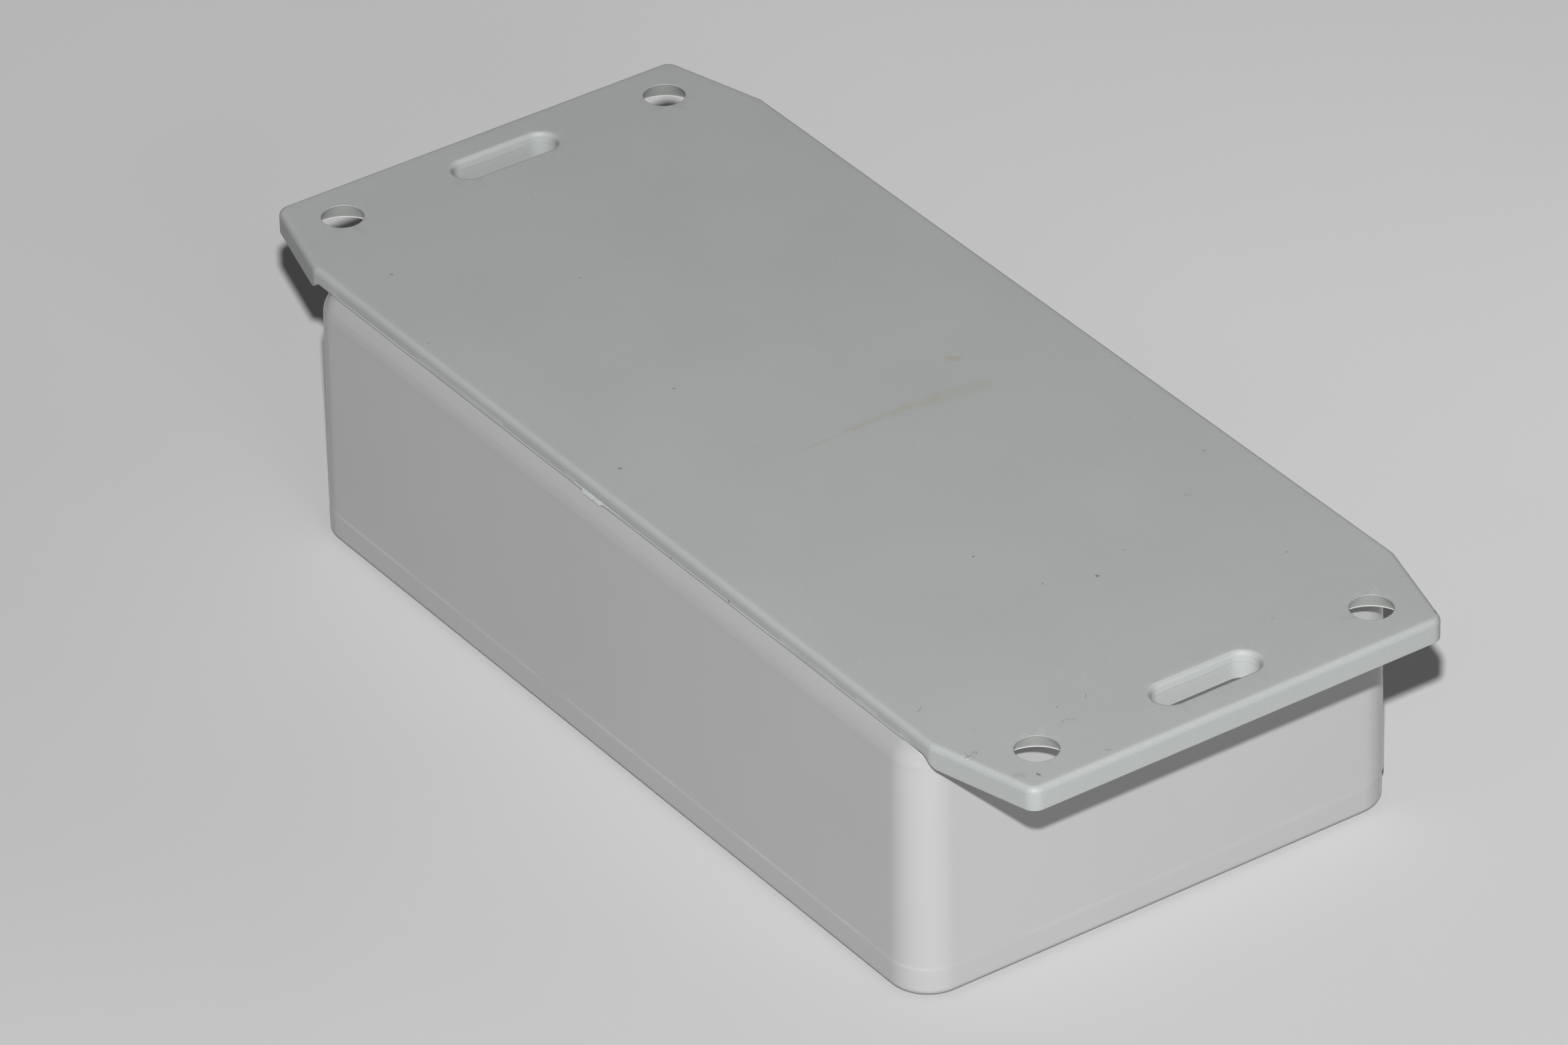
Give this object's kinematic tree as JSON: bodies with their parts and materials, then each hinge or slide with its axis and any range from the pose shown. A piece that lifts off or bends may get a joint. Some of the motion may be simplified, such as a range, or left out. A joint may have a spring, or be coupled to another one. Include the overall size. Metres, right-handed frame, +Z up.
{
  "type": "flanged plastic enclosure",
  "caption": "Light grey moulded plastic box with rounded shoulders, closed by a flat grey-green lid whose rimmed end flanges have round and slotted fixing holes.",
  "frame": {"origin": "middle of the box's underside, on the surface that it stands on", "axes": "+X along the box towards one flange, +Y across the box, +Z up through the lid"},
  "size_m": [0.138, 0.062, 0.032],
  "materials": {
    "box_plastic": "polished moulded ABS, light grey",
    "lid_plastic": "fine spark-textured moulded ABS, grey with a green cast",
    "screw_nickel": "dull nickel plate"
  },
  "bodies": {
    "root": {"box": "box_plastic", "flanged_lid": "lid_plastic", "lid_screws": "screw_nickel"}
  },
  "joints": []
}
